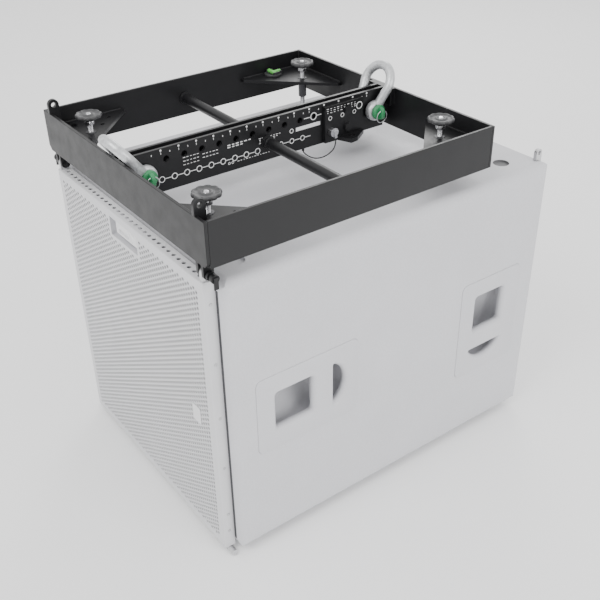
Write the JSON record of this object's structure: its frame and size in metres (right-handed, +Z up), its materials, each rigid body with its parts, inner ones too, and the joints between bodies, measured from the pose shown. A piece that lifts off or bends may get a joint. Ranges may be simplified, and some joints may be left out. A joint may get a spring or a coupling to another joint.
{
  "type": "line array subwoofer with flying frame",
  "caption": "Flyable box loudspeaker with perforated grille, recessed side handles and a black rigging frame carrying jack screws, a central spine and bow shackles.",
  "frame": {"origin": "centre of the footprint on the floor, under the rubber feet", "axes": "+Z up, the grille faces -Y, +X is the side to the right of someone looking along +Y"},
  "size_m": [0.6032, 0.7991, 0.7677],
  "materials": {
    "cabinet_paint": "fine textured light grey polyurea coating over plywood",
    "baffle_paint": "matt black coating over plywood",
    "plywood": "bare birch plywood",
    "wool": "grey damping felt",
    "grille_paint": "light grey powder coat on perforated steel",
    "foam": "open cell acoustic foam",
    "badge": "plain raised badge",
    "black_plastic": "fine grained moulding",
    "handle_plastic": "textured light grey coating",
    "screw_steel": "zinc plated",
    "zinc_steel": "zinc plated plate",
    "rubber": "matt",
    "cast_black": "cast, black painted",
    "ferrite": "dark plated steel and ferrite",
    "cone_paper": "treated paper",
    "surround_cloth": "treated cloth",
    "copper": "copper wire",
    "socket_plastic": "blue and black moulding",
    "frame_black": "satin black powder coat",
    "pin_black": "black quick-release pin",
    "bush_steel": "blackened steel",
    "zinc_rod": "bright zinc plated",
    "galvanised": "hot dip galvanised forging",
    "cord_black": "coated wire rope",
    "level_plastic": "black base with green vials"
  },
  "bodies": {
    "root": {"top_panel": "cabinet_paint", "bottom_panel": "cabinet_paint", "left_panel": "cabinet_paint", "right_panel": "cabinet_paint", "back_panel": "cabinet_paint", "front_baffle": "baffle_paint", "port_shelf": "plywood", "window_brace": "plywood", "damping_lining": "wool", "grille": "grille_paint", "grille_foam": "foam", "grille_badge": "badge", "window_cup": "black_plastic", "handle_front_right": "handle_plastic", "handle_rear_right": "handle_plastic", "handle_front_left": "handle_plastic", "handle_rear_left": "handle_plastic", "panel_screws": "screw_steel", "rigging_rails": "zinc_steel", "rubber_feet": "rubber", "woofer_basket": "cast_black", "woofer_magnet": "ferrite", "woofer_surround": "surround_cloth", "woofer_spider": "surround_cloth", "connector_plate": "black_plastic", "connector_sockets": "socket_plastic", "frame_front": "frame_black", "frame_rear": "frame_black", "frame_left": "frame_black", "frame_right": "frame_black", "corner_gussets": "frame_black", "spine_left": "frame_black", "spine_right": "frame_black", "spine_spacers": "frame_black", "cross_tubes": "frame_black", "front_lugs": "frame_black", "jack_bushes": "bush_steel", "hoist_bracket": "frame_black", "pin_lanyard": "cord_black", "spirit_level": "level_plastic"},
    "woofer_moving": {"woofer_cone": "cone_paper", "voice_coil": "copper"},
    "latch": {"window_latch": "grille_paint"},
    "rear_link_left": {"rear_link_left": "zinc_steel"},
    "rear_link_right": {"rear_link_right": "zinc_steel"},
    "front_pin_left": {"front_pin_left": "pin_black"},
    "front_pin_right": {"front_pin_right": "pin_black"},
    "shackle_front": {"shackle_front": "galvanised"},
    "shackle_front_pin": {"shackle_front_pin": "galvanised"},
    "shackle_rear": {"shackle_rear": "galvanised"},
    "shackle_rear_pin": {"shackle_rear_pin": "galvanised"},
    "bracket_pin": {"bracket_pin": "zinc_rod"},
    "jack_foot_fl": {"jack_foot_fl": "bush_steel"},
    "jack_screw_fl": {"jack_screw_fl": "zinc_rod"},
    "jack_foot_fr": {"jack_foot_fr": "bush_steel"},
    "jack_screw_fr": {"jack_screw_fr": "zinc_rod"},
    "jack_foot_rl": {"jack_foot_rl": "bush_steel"},
    "jack_screw_rl": {"jack_screw_rl": "zinc_rod"},
    "jack_foot_rr": {"jack_foot_rr": "bush_steel"},
    "jack_screw_rr": {"jack_screw_rr": "zinc_rod"}
  },
  "joints": [
    {"name": "cone_travel", "type": "slide", "parent": "root", "child": "woofer_moving", "axis": [0, -1, 0], "range_m": [-0.008, 0.008], "stiffness_N_per_m": 9000},
    {"name": "latch_slide", "type": "slide", "parent": "root", "child": "latch", "axis": [-1, 0, 0], "range_m": [0, 0.012]},
    {"name": "rear_link_left_lift", "type": "slide", "parent": "root", "child": "rear_link_left", "axis": [0, 0, 1], "range_m": [0, 0.04]},
    {"name": "rear_link_right_lift", "type": "slide", "parent": "root", "child": "rear_link_right", "axis": [0, 0, 1], "range_m": [0, 0.04]},
    {"name": "front_pin_left_pull", "type": "slide", "parent": "root", "child": "front_pin_left", "axis": [-1, 0, 0], "range_m": [0, 0.034]},
    {"name": "front_pin_right_pull", "type": "slide", "parent": "root", "child": "front_pin_right", "axis": [1, 0, 0], "range_m": [0, 0.034]},
    {"name": "shackle_front_swing", "type": "hinge", "parent": "root", "child": "shackle_front", "pos_m": [0, -0.343, 0.683], "axis": [1, 0, 0], "range_deg": [-89, 0]},
    {"name": "shackle_rear_swing", "type": "hinge", "parent": "root", "child": "shackle_rear", "pos_m": [0, 0.168, 0.681], "axis": [1, 0, 0], "range_deg": [0, 79]},
    {"name": "shackle_front_pin_turn", "type": "hinge", "parent": "root", "child": "shackle_front_pin", "pos_m": [0, -0.343, 0.683], "axis": [1, 0, 0], "continuous": true},
    {"name": "shackle_rear_pin_turn", "type": "hinge", "parent": "root", "child": "shackle_rear_pin", "pos_m": [0, 0.168, 0.681], "axis": [1, 0, 0], "continuous": true},
    {"name": "bracket_pin_pull", "type": "slide", "parent": "root", "child": "bracket_pin", "axis": [1, 0, 0], "range_m": [0, 0.03]},
    {"name": "jack_fl_lift", "type": "slide", "parent": "root", "child": "jack_foot_fl", "axis": [0, 0, 1], "range_m": [0, 0.02]},
    {"name": "jack_fl_turn", "type": "hinge", "parent": "jack_foot_fl", "child": "jack_screw_fl", "pos_m": [-0.2133, -0.3347, 0.7], "axis": [0, 0, 1], "range_deg": [0, 4790]},
    {"name": "jack_fr_lift", "type": "slide", "parent": "root", "child": "jack_foot_fr", "axis": [0, 0, 1], "range_m": [0, 0.02]},
    {"name": "jack_fr_turn", "type": "hinge", "parent": "jack_foot_fr", "child": "jack_screw_fr", "pos_m": [0.2133, -0.3347, 0.7], "axis": [0, 0, 1], "range_deg": [0, 4790]},
    {"name": "jack_rl_lift", "type": "slide", "parent": "root", "child": "jack_foot_rl", "axis": [0, 0, 1], "range_m": [0, 0.02]},
    {"name": "jack_rl_turn", "type": "hinge", "parent": "jack_foot_rl", "child": "jack_screw_rl", "pos_m": [-0.2133, 0.1638, 0.7], "axis": [0, 0, 1], "range_deg": [0, 4790]},
    {"name": "jack_rr_lift", "type": "slide", "parent": "root", "child": "jack_foot_rr", "axis": [0, 0, 1], "range_m": [0, 0.02]},
    {"name": "jack_rr_turn", "type": "hinge", "parent": "jack_foot_rr", "child": "jack_screw_rr", "pos_m": [0.2133, 0.1638, 0.7], "axis": [0, 0, 1], "range_deg": [0, 4790]}
  ],
  "couplings": [
    {"joint": "jack_fl_lift", "follows": "jack_fl_turn", "m_per_rad": 0.00023873},
    {"joint": "jack_fr_lift", "follows": "jack_fr_turn", "m_per_rad": 0.00023873},
    {"joint": "jack_rl_lift", "follows": "jack_rl_turn", "m_per_rad": 0.00023873},
    {"joint": "jack_rr_lift", "follows": "jack_rr_turn", "m_per_rad": 0.00023873}
  ]
}
